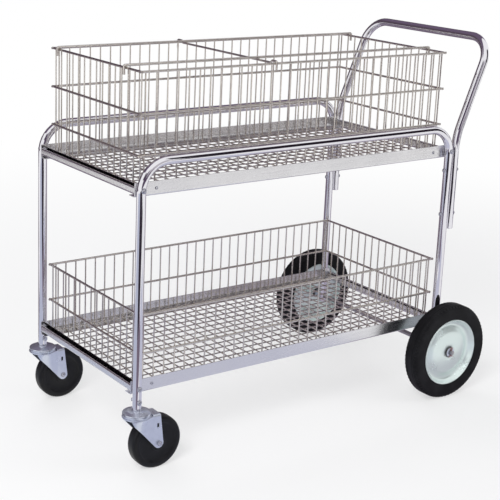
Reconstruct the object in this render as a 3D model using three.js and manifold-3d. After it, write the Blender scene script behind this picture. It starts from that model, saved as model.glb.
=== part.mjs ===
// Wire basket mail cart: two bent tube side frames, two sheet metal shelf frames with wire baskets,
// a bolted push handle, two large fixed wheels at the rear and two swivel casters at the front.
// Millimetres, +Z up, +X towards the push handle, +Y to the right of a person who pushes it.
// Lengthwise places are measured from the front legs, sideways places from the middle of the cart.
import * as THREE from 'three';
import { mergeVertices } from 'three/addons/utils/BufferGeometryUtils.js';
import Module from 'manifold-3d';

const wasm = await Module();
wasm.setup();

// Clearances
const gap = 0.3;                 // between pieces that touch
const overrun = 1;               // by which a cut runs past a wall
const weldSink = 0.4;            // by which crossing wires sink into each other

// Side frames
const frameLength = 920;         // front leg to rear leg, centre to centre
const frameWidth = 460;          // left frame to right frame, centre to centre
const topRailHeight = 714;
const tubeRadius = 10.5;
const tubeWall = 1.6;
const tubeSides = 12;
const boreSides = 8;
const bendSteps = 3;
const rodBendSteps = 2;
const rodSides = 8;
const boltSides = 6;
const frameBendRadius = 66;
const frontLegFoot = 149;        // the casters' mounting height
const rearLegBelowAxle = 16;

// Push handle
const handleFootHeight = 448;
const handleKickHeight = 689;
const handleKickAngle = THREE.MathUtils.degToRad(22);
const handleKickRadius = 170;
const handleTopHeight = 936;
const handleBendRadius = 66;
const handleBoltHeights = [488, 604];

// Shelf frames
const upperShelfHeight = 636;    // underside of the upper side rails
const lowerShelfHeight = 182;
const sheet = 2;
const railHeight = 32;
const railFlange = 24;
const railOverhang = 10;         // past the centre of each leg
const channelWidth = 20;
const channelHeight = 18;
const channelLift = 5;           // above the underside of the side rails
const channelCorner = 6;
const shelfBoltRise = 18;

// Baskets
const basketFront = 13;          // from the legs' centres to the basket's ends
const upperBasketInset = 30;     // from a side frame's centre to the basket's side
const lowerBasketInset = 17;
const upperRimHeight = 903;
const lowerRimHeight = 363;
const hoopSpacing = 91.5;        // between the lengthwise wires of a panel
const hoopWire = 5.5;
const meshWire = 3.6;
const meshPitch = 84;
const gridPitchAcross = 100;
const sideMargin = 13;           // from a basket corner to a side panel's first upright
const endMargin = 5.5;           // from a basket corner to an end panel's first upright
const hoopOvershoot = 4;

// Hanger rails and cross rod
const hangerSpacing = 305;       // folder hooks of letter width
const leftHangerOffset = 137;    // of the left hanger rail from the middle
const hangerRod = 6;
const crossRod = 5;
const crossRodPlace = 368;
const hookDrop = 20;
const hookBend = 3;              // centre line radius of the rods' bends

// Rear wheels
const wheelRadius = 127;
const wheelWidth = 44;
const wheelOffset = 44.6;        // from the side frame's centre to the wheel's middle
const rimRadius = 88.5;
const tyreCrown = 4;
const tyreShoulder = 6;
const axleRadius = 6.3;
const runningGap = 0.35;
const bushWall = 3;
const bushFlange = 3;
const bushFlangeRadius = 14;
const roundSides = 12;
const hubBarrelRadius = 15;
const discThickness = 2.5;
const spacerRadius = 11;
const washerRadius = 13;
const washerThickness = 2;
const axleTail = 7;              // of the axle beyond the outer washer
const hubLength = 34;
const hubDish = 10;              // of the groove inside the rim
const hubGrooveShare = 0.83;     // of the rim's radius
const hubDomeShare = 0.68;
const wheelSides = 24;

// Casters
const casterRadius = 63.5;
const casterWidth = 32;
const casterSides = 24;
const casterTrail = 48;
const casterCrown = 5;
const casterHubShare = 0.3;      // of the caster wheel's radius
const casterRimShare = 0.78;
const casterBoreRadius = 6.5;
const stemLength = 46;
const stemBoltHeight = 168;
const cupRadius = 33;
const cupHeight = 9;
const cupBead = 1.8;
const raceGap = 0.6;
const raceHeight = 5;
const raceRadius = 31;
const crownRadius = 34;
const forkPlate = 3;
const forkInside = 36;           // between the two fork legs
const forkBossRadius = 12;
const forkBossTangent = THREE.MathUtils.degToRad(222);
const forkRearReach = 4;         // of the fork's crown behind the caster's axle
const forkFrontReach = 24;       // of the fork legs ahead of the swivel axis
const forkFrontDrop = 15;
const forkTaperShare = 0.8;
const kingpinRadius = 6;
const kingpinHeadRadius = 10;
const kingpinHeadHeight = 3;
const slotWidth = 4;
const slotHeight = 10;
const slotBelowCrown = 18;
const slotLead = 3;              // of the slot's middle ahead of the caster's axle
const casterBoltRadius = 4;

// Bolts
const boltRadius = 3;
const headRadius = 6.4;
const headHeight = 4.5;
const nutHeight = 5;

// Places that follow from the sizes above
const railOuterFace = frameWidth / 2 - tubeRadius - gap;
const railInnerFace = railOuterFace - sheet;
const handleFootPlace = frameLength + 2 * tubeRadius + gap;
const handleReach = (handleTopHeight - handleKickHeight) * Math.tan(handleKickAngle);
const handleTopPlace = handleFootPlace + handleReach;
const upperBasketWidth = frameWidth - 2 * upperBasketInset;
const lowerBasketWidth = frameWidth - 2 * lowerBasketInset;
const uprightInset = (hoopWire + meshWire) / 2 - weldSink;
const hangerHeight = upperRimHeight + (hoopWire + hangerRod) / 2 + gap;
const wheelPlace = frameWidth / 2 + wheelOffset;
const crownTop = frontLegFoot - cupHeight - raceGap - raceHeight;
const crownUnderside = crownTop - forkPlate;

// Finishes
const chrome = finish(0xc9ccd2, 0.15, 1);
const satinSteel = finish(0xdcdde0, 0.4, 0.8);
const zinc = finish(0xb9bec6, 0.3, 0.9);
const wireChrome = finish(0xc6c5c2, 0.25, 1);
const blackRubber = finish(0x1c1c1e, 0.8, 0);
const palePaint = finish(0xc5cfcb, 0.4, 0.2);
const darkSteel = finish(0x5a5a60, 0.4, 0.9);

function finish(color, roughness, metalness) {
  return new THREE.MeshStandardMaterial({ color, roughness, metalness });
}

// Solid modelling helpers

function solidOf(geometry) {
  const bare = geometry.clone();
  bare.deleteAttribute('normal');
  bare.deleteAttribute('uv');
  const merged = mergeVertices(bare, 1e-4);
  const mesh = new wasm.Mesh({
    numProp: 3,
    vertProperties: new Float32Array(merged.attributes.position.array),
    triVerts: new Uint32Array(merged.index.array),
  });
  return new wasm.Manifold(mesh);
}

function geometryOf(solid) {
  const mesh = solid.getMesh();
  const geometry = new THREE.BufferGeometry();
  geometry.setAttribute('position', new THREE.BufferAttribute(mesh.vertProperties, 3));
  geometry.setIndex(new THREE.BufferAttribute(mesh.triVerts, 1));
  geometry.computeVertexNormals();
  return geometry;
}

function union(geometries) {
  const [first, ...rest] = geometries.map(solidOf);
  return geometryOf(rest.reduce((sum, next) => sum.add(next), first));
}

function cut(geometry, tools) {
  return geometryOf(tools.map(solidOf).reduce((left, tool) => left.subtract(tool), solidOf(geometry)));
}

// A box between two corners
function block(low, high) {
  const size = high.clone().sub(low);
  const middle = low.clone().add(high).multiplyScalar(0.5);
  return new THREE.BoxGeometry(size.x, size.y, size.z).translate(middle.x, middle.y, middle.z);
}

// A straight round bar between two points
function bar(from, to, radius, sides) {
  const along = to.clone().sub(from);
  const middle = from.clone().add(to).multiplyScalar(0.5);
  const turn = new THREE.Quaternion().setFromUnitVectors(new THREE.Vector3(0, 1, 0), along.clone().normalize());
  return new THREE.CylinderGeometry(radius, radius, along.length(), sides)
    .applyQuaternion(turn)
    .translate(middle.x, middle.y, middle.z);
}

// A turned piece about the Z axis, from [radius, height] points
function turned(profile, segments) {
  const points = profile.map(([radius, height]) => new THREE.Vector2(radius, height));
  return new THREE.LatheGeometry(points, segments).rotateX(Math.PI / 2);
}

// A turned piece about the Y axis, from [radius, place along Y] points
function turnedAcross(profile, segments) {
  const points = profile.map(([radius, place]) => new THREE.Vector2(radius, place));
  return new THREE.LatheGeometry(points, segments);
}

// A path of straight runs with an arc at each inner corner, with stations only where it bends
class BentPath extends THREE.Curve {
  constructor(corners, bendRadii, stepsPerBend) {
    super();
    this.points = [corners[0]];
    this.tangents = [corners[1].clone().sub(corners[0]).normalize()];
    bendRadii.forEach((radius, i) => this.addBend(corners[i], corners[i + 1], corners[i + 2], radius, stepsPerBend));
    const last = corners[corners.length - 1];
    this.points.push(last);
    this.tangents.push(last.clone().sub(corners[corners.length - 2]).normalize());
  }

  addBend(before, corner, after, radius, steps) {
    const into = corner.clone().sub(before).normalize();
    const out = after.clone().sub(corner).normalize();
    const angle = into.angleTo(out);
    const inward = out.clone().addScaledVector(into, -Math.cos(angle)).normalize();
    const start = corner.clone().addScaledVector(into, -radius * Math.tan(angle / 2));
    for (let i = 0; i <= steps; i++) {
      const turn = (angle * i) / steps;
      this.points.push(
        start.clone()
          .addScaledVector(into, radius * Math.sin(turn))
          .addScaledVector(inward, radius * (1 - Math.cos(turn))),
      );
      this.tangents.push(into.clone().multiplyScalar(Math.cos(turn)).addScaledVector(inward, Math.sin(turn)));
    }
  }

  station(u) {
    return Math.round(u * (this.points.length - 1));
  }

  getPoint(u, target = new THREE.Vector3()) {
    return target.copy(this.points[this.station(u)]);
  }

  getPointAt(u, target) {
    return this.getPoint(u, target);
  }

  getTangentAt(u, target = new THREE.Vector3()) {
    return target.copy(this.tangents[this.station(u)]);
  }
}

function roundOutline(radius, sides) {
  const corners = [];
  for (let i = 0; i < sides; i++) {
    const turn = (2 * Math.PI * i) / sides;
    corners.push(new THREE.Vector2(radius * Math.cos(turn), radius * Math.sin(turn)));
  }
  return corners;
}

// A round rod, or a tube where a wall is given, swept along a bent path
function sweep(path, radius, sides, wall = 0) {
  const shape = new THREE.Shape(roundOutline(radius, sides));
  if (wall > 0) shape.holes.push(new THREE.Path(roundOutline(radius - wall, boreSides).reverse()));
  return new THREE.ExtrudeGeometry(shape, { steps: path.points.length - 1, extrudePath: path });
}

// Places spread evenly between two ends, as near to the pitch as whole gaps allow
function evenPlaces(from, to, pitch) {
  const gaps = Math.max(1, Math.round((to - from) / pitch));
  return Array.from({ length: gaps + 1 }, (_, i) => from + ((to - from) * i) / gaps);
}

// Side frame: an inverted U of tube with holes for the axle, the handle, shelf and stem bolts

function sideFrame(side) {
  const y = (side * frameWidth) / 2;
  const axleHeight = wheelRadius;
  const path = new BentPath(
    [
      new THREE.Vector3(0, y, frontLegFoot),
      new THREE.Vector3(0, y, topRailHeight),
      new THREE.Vector3(frameLength, y, topRailHeight),
      new THREE.Vector3(frameLength, y, axleHeight - rearLegBelowAxle),
    ],
    [frameBendRadius, frameBendRadius],
    bendSteps,
  );
  const reach = tubeRadius + overrun;
  const acrossHole = (x, z, radius, sides) =>
    bar(new THREE.Vector3(x, y - reach, z), new THREE.Vector3(x, y + reach, z), radius + gap, sides);
  const shelfHoles = [0, frameLength].flatMap((x) =>
    [lowerShelfHeight, upperShelfHeight].map((z) => acrossHole(x, z + shelfBoltRise, boltRadius, boltSides)));
  const handleHoles = handleBoltHeights.map((z) =>
    bar(
      new THREE.Vector3(frameLength - reach, y, z),
      new THREE.Vector3(frameLength + reach, y, z),
      boltRadius + gap,
      boltSides,
    ));
  return cut(sweep(path, tubeRadius, tubeSides, tubeWall), [
    acrossHole(frameLength, axleHeight, axleRadius, roundSides),
    acrossHole(0, stemBoltHeight, boltRadius, boltSides),
    ...shelfHoles,
    ...handleHoles,
  ]);
}

// Push handle: two upright feet, a kick to the rear and a crossbar

function pushHandle() {
  const y = frameWidth / 2;
  const path = new BentPath(
    [
      new THREE.Vector3(handleFootPlace, -y, handleFootHeight),
      new THREE.Vector3(handleFootPlace, -y, handleKickHeight),
      new THREE.Vector3(handleTopPlace, -y, handleTopHeight),
      new THREE.Vector3(handleTopPlace, y, handleTopHeight),
      new THREE.Vector3(handleFootPlace, y, handleKickHeight),
      new THREE.Vector3(handleFootPlace, y, handleFootHeight),
    ],
    [handleKickRadius, handleBendRadius, handleBendRadius, handleKickRadius],
    bendSteps,
  );
  const reach = tubeRadius + overrun;
  const holes = [-y, y].flatMap((place) => handleBoltHeights.map((z) =>
    bar(
      new THREE.Vector3(handleFootPlace - reach, place, z),
      new THREE.Vector3(handleFootPlace + reach, place, z),
      boltRadius + gap,
      boltSides,
    )));
  return cut(sweep(path, tubeRadius, tubeSides, tubeWall), holes);
}

// Shelf side rail: an upright face against the legs and a flange that carries the basket

function sideRail(side, shelfHeight) {
  const front = -railOverhang;
  const rear = frameLength + railOverhang;
  const faces = [side * railInnerFace, side * railOuterFace].sort((a, b) => a - b);
  const flange = [side * (railOuterFace - railFlange), side * railOuterFace].sort((a, b) => a - b);
  const reach = sheet + overrun;
  const boltHoles = [0, frameLength].map((x) =>
    bar(
      new THREE.Vector3(x, faces[0] - reach, shelfHeight + shelfBoltRise),
      new THREE.Vector3(x, faces[1] + reach, shelfHeight + shelfBoltRise),
      boltRadius + gap,
      boltSides,
    ));
  const face = block(
    new THREE.Vector3(front, faces[0], shelfHeight),
    new THREE.Vector3(rear, faces[1], shelfHeight + railHeight),
  );
  const ledge = block(
    new THREE.Vector3(front, flange[0], shelfHeight),
    new THREE.Vector3(rear, flange[1], shelfHeight + sheet),
  );
  return cut(union([face, ledge]), boltHoles);
}

// Shelf end channel: open at the top, its outer foot rounded, butted between the side rails

function endChannel(facing, shelfHeight) {
  const half = channelWidth / 2;
  const foot = shelfHeight + channelLift;
  const top = foot + channelHeight;
  const outline = new THREE.Shape();
  outline.moveTo(half, foot);
  outline.lineTo(half, top);
  outline.lineTo(half - sheet, top);
  outline.lineTo(half - sheet, foot + sheet);
  outline.lineTo(channelCorner - half, foot + sheet);
  outline.lineTo(sheet - half, foot + channelCorner);
  outline.lineTo(sheet - half, top);
  outline.lineTo(-half, top);
  outline.lineTo(-half, foot + channelCorner);
  outline.absarc(channelCorner - half, foot + channelCorner, channelCorner, Math.PI, 1.5 * Math.PI, false);
  outline.closePath();
  const length = 2 * (railInnerFace - gap);
  return new THREE.ExtrudeGeometry(outline, { depth: length, bevelEnabled: false, curveSegments: 3 })
    .rotateX(Math.PI / 2)
    .translate(0, length / 2, 0)
    .rotateZ(facing > 0 ? Math.PI : 0);
}

// Basket wires: square bars that lie along one axis

function wireAlongX(fromX, toX, y, z, size) {
  const half = size / 2;
  return block(new THREE.Vector3(fromX, y - half, z - half), new THREE.Vector3(toX, y + half, z + half));
}

function wireAlongY(x, fromY, toY, z, size) {
  const half = size / 2;
  return block(new THREE.Vector3(x - half, fromY, z - half), new THREE.Vector3(x + half, toY, z + half));
}

function wireAlongZ(x, y, fromZ, toZ, size) {
  const half = size / 2;
  return block(new THREE.Vector3(x - half, y - half, fromZ), new THREE.Vector3(x + half, y + half, toZ));
}

function uprightPlacesAlong() {
  return evenPlaces(basketFront + sideMargin, frameLength - basketFront - sideMargin, meshPitch);
}

function uprightPlacesAcross(basketWidth) {
  return evenPlaces(endMargin - basketWidth / 2, basketWidth / 2 - endMargin, meshPitch);
}

// Basket bottom grid: cross wires on the side rails' flanges, with lengthwise wires on top

function bottomGrid(basketWidth, shelfHeight) {
  const crossHeight = shelfHeight + sheet + gap + meshWire / 2;
  const longHeight = crossHeight + meshWire - weldSink;
  const half = basketWidth / 2;
  const firstX = basketFront + uprightInset;
  const borders = [firstX, frameLength - firstX];
  const cross = [...borders, ...uprightPlacesAlong()]
    .map((x) => wireAlongY(x, -half, half, crossHeight, meshWire));
  const edge = half - uprightInset;
  const lengthwise = evenPlaces(-edge, edge, gridPitchAcross)
    .map((y) => wireAlongX(basketFront, frameLength - basketFront, y, longHeight, meshWire));
  return union([...cross, ...lengthwise]);
}

function gridTop(shelfHeight) {
  return shelfHeight + sheet + gap + 2 * meshWire - weldSink;
}

// Basket side panel: hoop wires outside, uprights inside that stand on the bottom grid's edge wire

function sidePanel(side, basketWidth, shelfHeight, hoopHeights) {
  const y = (side * basketWidth) / 2;
  const front = basketFront - hoopOvershoot;
  const hoops = hoopHeights.map((z) => wireAlongX(front, frameLength - front, y, z, hoopWire));
  const uprights = uprightPlacesAlong().map((x) =>
    wireAlongZ(x, y - side * uprightInset, gridTop(shelfHeight) + gap, hoopHeights[0], meshWire));
  return union([...hoops, ...uprights]);
}

// Basket end panel: its hoops butt between the side panels' hoops

function endPanel(facing, basketWidth, shelfHeight, hoopHeights) {
  const x = facing < 0 ? basketFront : frameLength - basketFront;
  const half = basketWidth / 2 - hoopWire / 2 - gap;
  const hoops = hoopHeights.map((z) => wireAlongY(x, -half, half, z, hoopWire));
  const uprights = uprightPlacesAcross(basketWidth).map((y) =>
    wireAlongZ(x - facing * uprightInset, y, gridTop(shelfHeight) + gap, hoopHeights[0], meshWire));
  return union([...hoops, ...uprights]);
}

// Hanger rail: a rod along the basket whose ends hook down over the end rims

function hangerRail(y) {
  const reach = (hoopWire + hangerRod) / 2 + gap;
  const front = basketFront - reach;
  const rear = frameLength - front;
  const path = new BentPath(
    [
      new THREE.Vector3(front, y, hangerHeight - hookDrop),
      new THREE.Vector3(front, y, hangerHeight),
      new THREE.Vector3(rear, y, hangerHeight),
      new THREE.Vector3(rear, y, hangerHeight - hookDrop),
    ],
    [hookBend, hookBend],
    rodBendSteps,
  );
  return sweep(path, hangerRod / 2, rodSides);
}

// Cross rod: lies under both hanger rails, steps up over the side rims and hooks down outside

function centreCrossRod() {
  const rodHeight = hangerHeight - (hangerRod + crossRod) / 2 - gap;
  const overHeight = upperRimHeight + (hoopWire + crossRod) / 2 + gap;
  const reach = (hoopWire + crossRod) / 2 + gap;
  const outside = upperBasketWidth / 2 + reach;
  const inside = upperBasketWidth / 2 - reach - 2 * hookBend;
  const x = crossRodPlace;
  const path = new BentPath(
    [
      new THREE.Vector3(x, -outside, overHeight - hookDrop),
      new THREE.Vector3(x, -outside, overHeight),
      new THREE.Vector3(x, -inside, overHeight),
      new THREE.Vector3(x, 2 * hookBend - inside, rodHeight),
      new THREE.Vector3(x, inside - 2 * hookBend, rodHeight),
      new THREE.Vector3(x, inside, overHeight),
      new THREE.Vector3(x, outside, overHeight),
      new THREE.Vector3(x, outside, overHeight - hookDrop),
    ],
    Array(6).fill(hookBend),
    rodBendSteps,
  );
  return sweep(path, crossRod / 2, rodSides);
}

// Bolt with its nut along +X: head before the first place, nut after the second

function boltWithNut(from, to, radius) {
  const x = (place) => new THREE.Vector3(place, 0, 0);
  return union([
    bar(x(from - headHeight), x(from), headRadius, boltSides),
    bar(x(from - overrun), x(to + nutHeight + overrun), radius, boltSides),
    bar(x(to), x(to + nutHeight), headRadius, boltSides),
  ]);
}

function handleBolt() {
  return boltWithNut(
    frameLength - tubeRadius - gap,
    handleFootPlace + tubeRadius + gap,
    boltRadius,
  );
}

// Shelf bolt: from outside the leg, through the leg and the side rail's face

function shelfBolt(side) {
  const outside = frameWidth / 2 + tubeRadius + gap;
  return boltWithNut(-outside, gap - railInnerFace, boltRadius).rotateZ((-side * Math.PI) / 2);
}

// Stem bolt: across the foot of the front leg and the caster's stem

function stemBolt(side) {
  const reach = tubeRadius + gap;
  return boltWithNut(-reach - frameWidth / 2, reach - frameWidth / 2, boltRadius).rotateZ((-side * Math.PI) / 2);
}

// Rear axle and what is fixed on it

function rearAxle() {
  const end = wheelPlace + hubLength / 2 + bushFlange + 3 * gap + washerThickness + axleTail;
  return bar(new THREE.Vector3(0, -end, 0), new THREE.Vector3(0, end, 0), axleRadius, roundSides);
}

function ring(inner, outer, from, to) {
  return turnedAcross([[inner, from], [outer, from], [outer, to], [inner, to], [inner, from]], roundSides);
}

function wheelSpacer(side) {
  const inner = frameWidth / 2 + tubeRadius + gap;
  const outer = wheelPlace - hubLength / 2 - bushFlange - 2 * gap;
  return ring(axleRadius + gap, spacerRadius, inner, outer).rotateZ(side < 0 ? Math.PI : 0);
}

function axleWasher(side) {
  const inner = wheelPlace + hubLength / 2 + bushFlange + 2 * gap;
  return ring(axleRadius + gap, washerRadius, inner, inner + washerThickness).rotateZ(side < 0 ? Math.PI : 0);
}

// Rear wheel: tyre, dished hub and the bush that turns on the axle, each about the wheel's own middle

function rearTyre() {
  const half = wheelWidth / 2;
  const seat = rimRadius + gap;
  return turnedAcross(
    [
      [seat, -half],
      [wheelRadius - tyreShoulder, -half],
      [wheelRadius - tyreShoulder / 3, -half + tyreCrown / 2],
      [wheelRadius, -half + 2 * tyreCrown],
      [wheelRadius, half - 2 * tyreCrown],
      [wheelRadius - tyreShoulder / 3, half - tyreCrown / 2],
      [wheelRadius - tyreShoulder, half],
      [seat, half],
      [seat, -half],
    ],
    wheelSides,
  );
}

// Hub: the outer face dips into a groove inside the rim and domes out to the barrel
function rearHub() {
  const half = hubLength / 2;
  const lip = wheelWidth / 2;
  const bore = axleRadius + runningGap + bushWall + gap;
  const groove = rimRadius * hubGrooveShare;
  const dome = rimRadius * hubDomeShare;
  const rim = rimRadius - discThickness;
  const grooveDepth = half - hubDish;
  return turnedAcross(
    [
      [bore, -half],
      [hubBarrelRadius, -half],
      [hubBarrelRadius, half - 2 * discThickness],
      [dome, half - 2 * discThickness],
      [groove, grooveDepth - discThickness],
      [rim, grooveDepth],
      [rim, -lip],
      [rimRadius, -lip],
      [rimRadius, lip],
      [rim, lip],
      [groove, grooveDepth],
      [dome, half - discThickness],
      [hubBarrelRadius, half],
      [bore, half],
      [bore, -half],
    ],
    wheelSides,
  );
}

function wheelBush() {
  const half = hubLength / 2 + gap;
  const bore = axleRadius + runningGap;
  const barrel = bore + bushWall;
  return turnedAcross(
    [
      [bore, -half - bushFlange],
      [bushFlangeRadius, -half - bushFlange],
      [bushFlangeRadius, -half],
      [barrel, -half],
      [barrel, half],
      [bushFlangeRadius, half],
      [bushFlangeRadius, half + bushFlange],
      [bore, half + bushFlange],
      [bore, -half - bushFlange],
    ],
    roundSides,
  );
}

// Caster stem with its fixed cup and the kingpin that holds the fork. Turned about the stem's axis

function casterStem(side) {
  const stemRadius = (tubeRadius - tubeWall) * Math.cos(Math.PI / boreSides) - gap;
  const cupFoot = frontLegFoot - cupHeight;
  const stem = turned(
    [
      [0, crownUnderside - gap - kingpinHeadHeight],
      [kingpinHeadRadius, crownUnderside - gap - kingpinHeadHeight],
      [kingpinHeadRadius, crownUnderside - gap],
      [kingpinRadius, crownUnderside - gap],
      [kingpinRadius, cupFoot],
      [cupRadius - cupBead, cupFoot],
      [cupRadius, cupFoot + cupBead],
      [cupRadius - cupBead, cupFoot + 2 * cupBead],
      [tubeRadius, frontLegFoot - gap],
      [stemRadius, frontLegFoot - gap],
      [stemRadius, frontLegFoot + stemLength],
      [0, frontLegFoot + stemLength],
    ],
    roundSides,
  );
  const y = (side * frameWidth) / 2;
  const reach = tubeRadius + overrun;
  const hole = bar(
    new THREE.Vector3(0, -reach, stemBoltHeight),
    new THREE.Vector3(0, reach, stemBoltHeight),
    boltRadius + gap,
    boltSides,
  );
  return cut(stem, [hole]).translate(0, y, 0);
}

// Caster fork: a round crown with its race, two tapered legs behind it and the axle's holes

function forkLeg(from, to) {
  const boss = new THREE.Vector2(casterTrail, casterRadius);
  const outline = new THREE.Shape();
  outline.moveTo(-forkFrontReach, crownTop);
  outline.lineTo(-forkFrontReach * forkTaperShare, crownTop - forkFrontDrop);
  outline.absarc(boss.x, boss.y, forkBossRadius, forkBossTangent, 2 * Math.PI, false);
  outline.lineTo(boss.x + forkRearReach, crownTop);
  outline.closePath();
  return new THREE.ExtrudeGeometry(outline, { depth: to - from, bevelEnabled: false, curveSegments: 6 })
    .rotateX(Math.PI / 2)
    .translate(0, to, 0);
}

function casterFork(side) {
  const inside = forkInside / 2;
  const outside = inside + forkPlate;
  const crown = turned(
    [
      [0, crownUnderside],
      [crownRadius, crownUnderside],
      [crownRadius, crownTop],
      [raceRadius, crownTop],
      [raceRadius, crownTop + raceHeight],
      [0, crownTop + raceHeight],
    ],
    casterSides,
  );
  const bridge = block(
    new THREE.Vector3(0, -outside, crownUnderside),
    new THREE.Vector3(casterTrail + forkRearReach, outside, crownTop),
  );
  const body = union([crown, bridge, forkLeg(-outside, -inside), forkLeg(inside, outside)]);
  const reach = outside + overrun;
  const slotX = casterTrail - slotLead - slotWidth / 2;
  const slotTop = crownUnderside - slotBelowCrown;
  const tools = [
    bar(
      new THREE.Vector3(0, 0, crownUnderside - overrun),
      new THREE.Vector3(0, 0, crownTop + raceHeight + overrun),
      kingpinRadius + runningGap,
      roundSides,
    ),
    bar(
      new THREE.Vector3(casterTrail, -reach, casterRadius),
      new THREE.Vector3(casterTrail, reach, casterRadius),
      casterBoltRadius + gap,
      boltSides,
    ),
    block(
      new THREE.Vector3(slotX, -reach, slotTop - slotHeight),
      new THREE.Vector3(slotX + slotWidth, reach, slotTop),
    ),
  ];
  return cut(body, tools).translate(0, (side * frameWidth) / 2, 0);
}

function casterWheel() {
  const half = casterWidth / 2;
  const hubHalf = forkInside / 2 - gap;
  const hubRadius = casterRadius * casterHubShare;
  const rimInner = casterRadius * casterRimShare;
  return turnedAcross(
    [
      [casterBoreRadius, -hubHalf],
      [hubRadius, -hubHalf],
      [rimInner, -half / 2],
      [rimInner, -half],
      [casterRadius - casterCrown, -half],
      [casterRadius, -half + casterCrown],
      [casterRadius, half - casterCrown],
      [casterRadius - casterCrown, half],
      [rimInner, half],
      [rimInner, half / 2],
      [hubRadius, hubHalf],
      [casterBoreRadius, hubHalf],
      [casterBoreRadius, -hubHalf],
    ],
    casterSides,
  );
}

function casterAxle(side) {
  const reach = forkInside / 2 + forkPlate + gap;
  const ends = [-1, 1].map((end) => new THREE.Vector3(end * (forkInside / 2 - gap), 0, 0));
  const sleeve = bar(...ends, casterBoreRadius - runningGap, roundSides);
  return union([boltWithNut(-reach, reach, casterBoltRadius), sleeve]).rotateZ((-side * Math.PI) / 2);
}

// Assembly

const cart = new THREE.Group();

function add(name, geometry, material, x = 0, y = 0, z = 0) {
  const mesh = new THREE.Mesh(geometry, material);
  mesh.name = name;
  mesh.position.set(x, y, z);
  cart.add(mesh);
}

const sides = [['left', -1], ['right', 1]];
const ends = [['front', -1], ['rear', 1]];
const levels = [['upper', upperShelfHeight], ['lower', lowerShelfHeight]];
const baskets = [
  ['upper', upperBasketWidth, upperShelfHeight, [0, 1, 2].map((i) => upperRimHeight - i * hoopSpacing)],
  ['lower', lowerBasketWidth, lowerShelfHeight, [0, 1].map((i) => lowerRimHeight - i * hoopSpacing)],
];

function addFrame() {
  add('push_handle', pushHandle(), chrome);
  for (const [sideName, side] of sides) {
    add(`${sideName}_side_frame`, sideFrame(side), chrome);
    handleBoltHeights.forEach((height, i) => {
      add(`${sideName}_handle_bolt_${i + 1}`, handleBolt(), zinc, 0, (side * frameWidth) / 2, height);
    });
    add(`${sideName}_stem_bolt`, stemBolt(side), zinc, 0, 0, stemBoltHeight);
  }
}

function addShelves() {
  for (const [levelName, height] of levels) {
    for (const [endName, facing] of ends) {
      const x = facing < 0 ? 0 : frameLength;
      add(`${levelName}_${endName}_channel`, endChannel(facing, height), satinSteel, x);
      for (const [sideName, side] of sides) {
        const name = `${levelName}_${endName}_${sideName}_shelf_bolt`;
        add(name, shelfBolt(side), zinc, x, 0, height + shelfBoltRise);
      }
    }
    for (const [sideName, side] of sides) {
      add(`${levelName}_${sideName}_rail`, sideRail(side, height), satinSteel);
    }
  }
}

function addBaskets() {
  for (const [name, width, shelfHeight, hoops] of baskets) {
    add(`${name}_basket_bottom`, bottomGrid(width, shelfHeight), wireChrome);
    for (const [sideName, side] of sides) {
      add(`${name}_basket_${sideName}`, sidePanel(side, width, shelfHeight, hoops), wireChrome);
    }
    for (const [endName, facing] of ends) {
      add(`${name}_basket_${endName}`, endPanel(facing, width, shelfHeight, hoops), wireChrome);
    }
  }
  add('left_hanger_rail', hangerRail(-leftHangerOffset), wireChrome);
  add('right_hanger_rail', hangerRail(hangerSpacing - leftHangerOffset), wireChrome);
  add('centre_cross_rod', centreCrossRod(), wireChrome);
}

function addRearWheels() {
  add('rear_axle', rearAxle(), darkSteel, frameLength, 0, wheelRadius);
  for (const [sideName, side] of sides) {
    const y = side * wheelPlace;
    add(`${sideName}_wheel_spacer`, wheelSpacer(side), zinc, frameLength, 0, wheelRadius);
    add(`${sideName}_axle_washer`, axleWasher(side), zinc, frameLength, 0, wheelRadius);
    add(`${sideName}_rear_tyre`, rearTyre(), blackRubber, frameLength, y, wheelRadius);
    const hub = rearHub().rotateZ(side < 0 ? Math.PI : 0);
    add(`${sideName}_rear_hub`, hub, palePaint, frameLength, y, wheelRadius);
    add(`${sideName}_wheel_bush`, wheelBush(), zinc, frameLength, y, wheelRadius);
  }
}

function addCasters() {
  for (const [sideName, side] of sides) {
    const y = (side * frameWidth) / 2;
    add(`${sideName}_caster_stem`, casterStem(side), zinc);
    add(`${sideName}_caster_fork`, casterFork(side), zinc);
    add(`${sideName}_caster_wheel`, casterWheel(), blackRubber, casterTrail, y, casterRadius);
    add(`${sideName}_caster_axle`, casterAxle(side), zinc, casterTrail, y, casterRadius);
  }
}

addFrame();
addShelves();
addBaskets();
addRearWheels();
addCasters();

const bounds = new THREE.Box3().setFromObject(cart);
cart.position.x = -(bounds.min.x + bounds.max.x) / 2;

export default cart;
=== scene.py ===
import math

import bmesh
import bpy
from mathutils import Matrix, Vector


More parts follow.
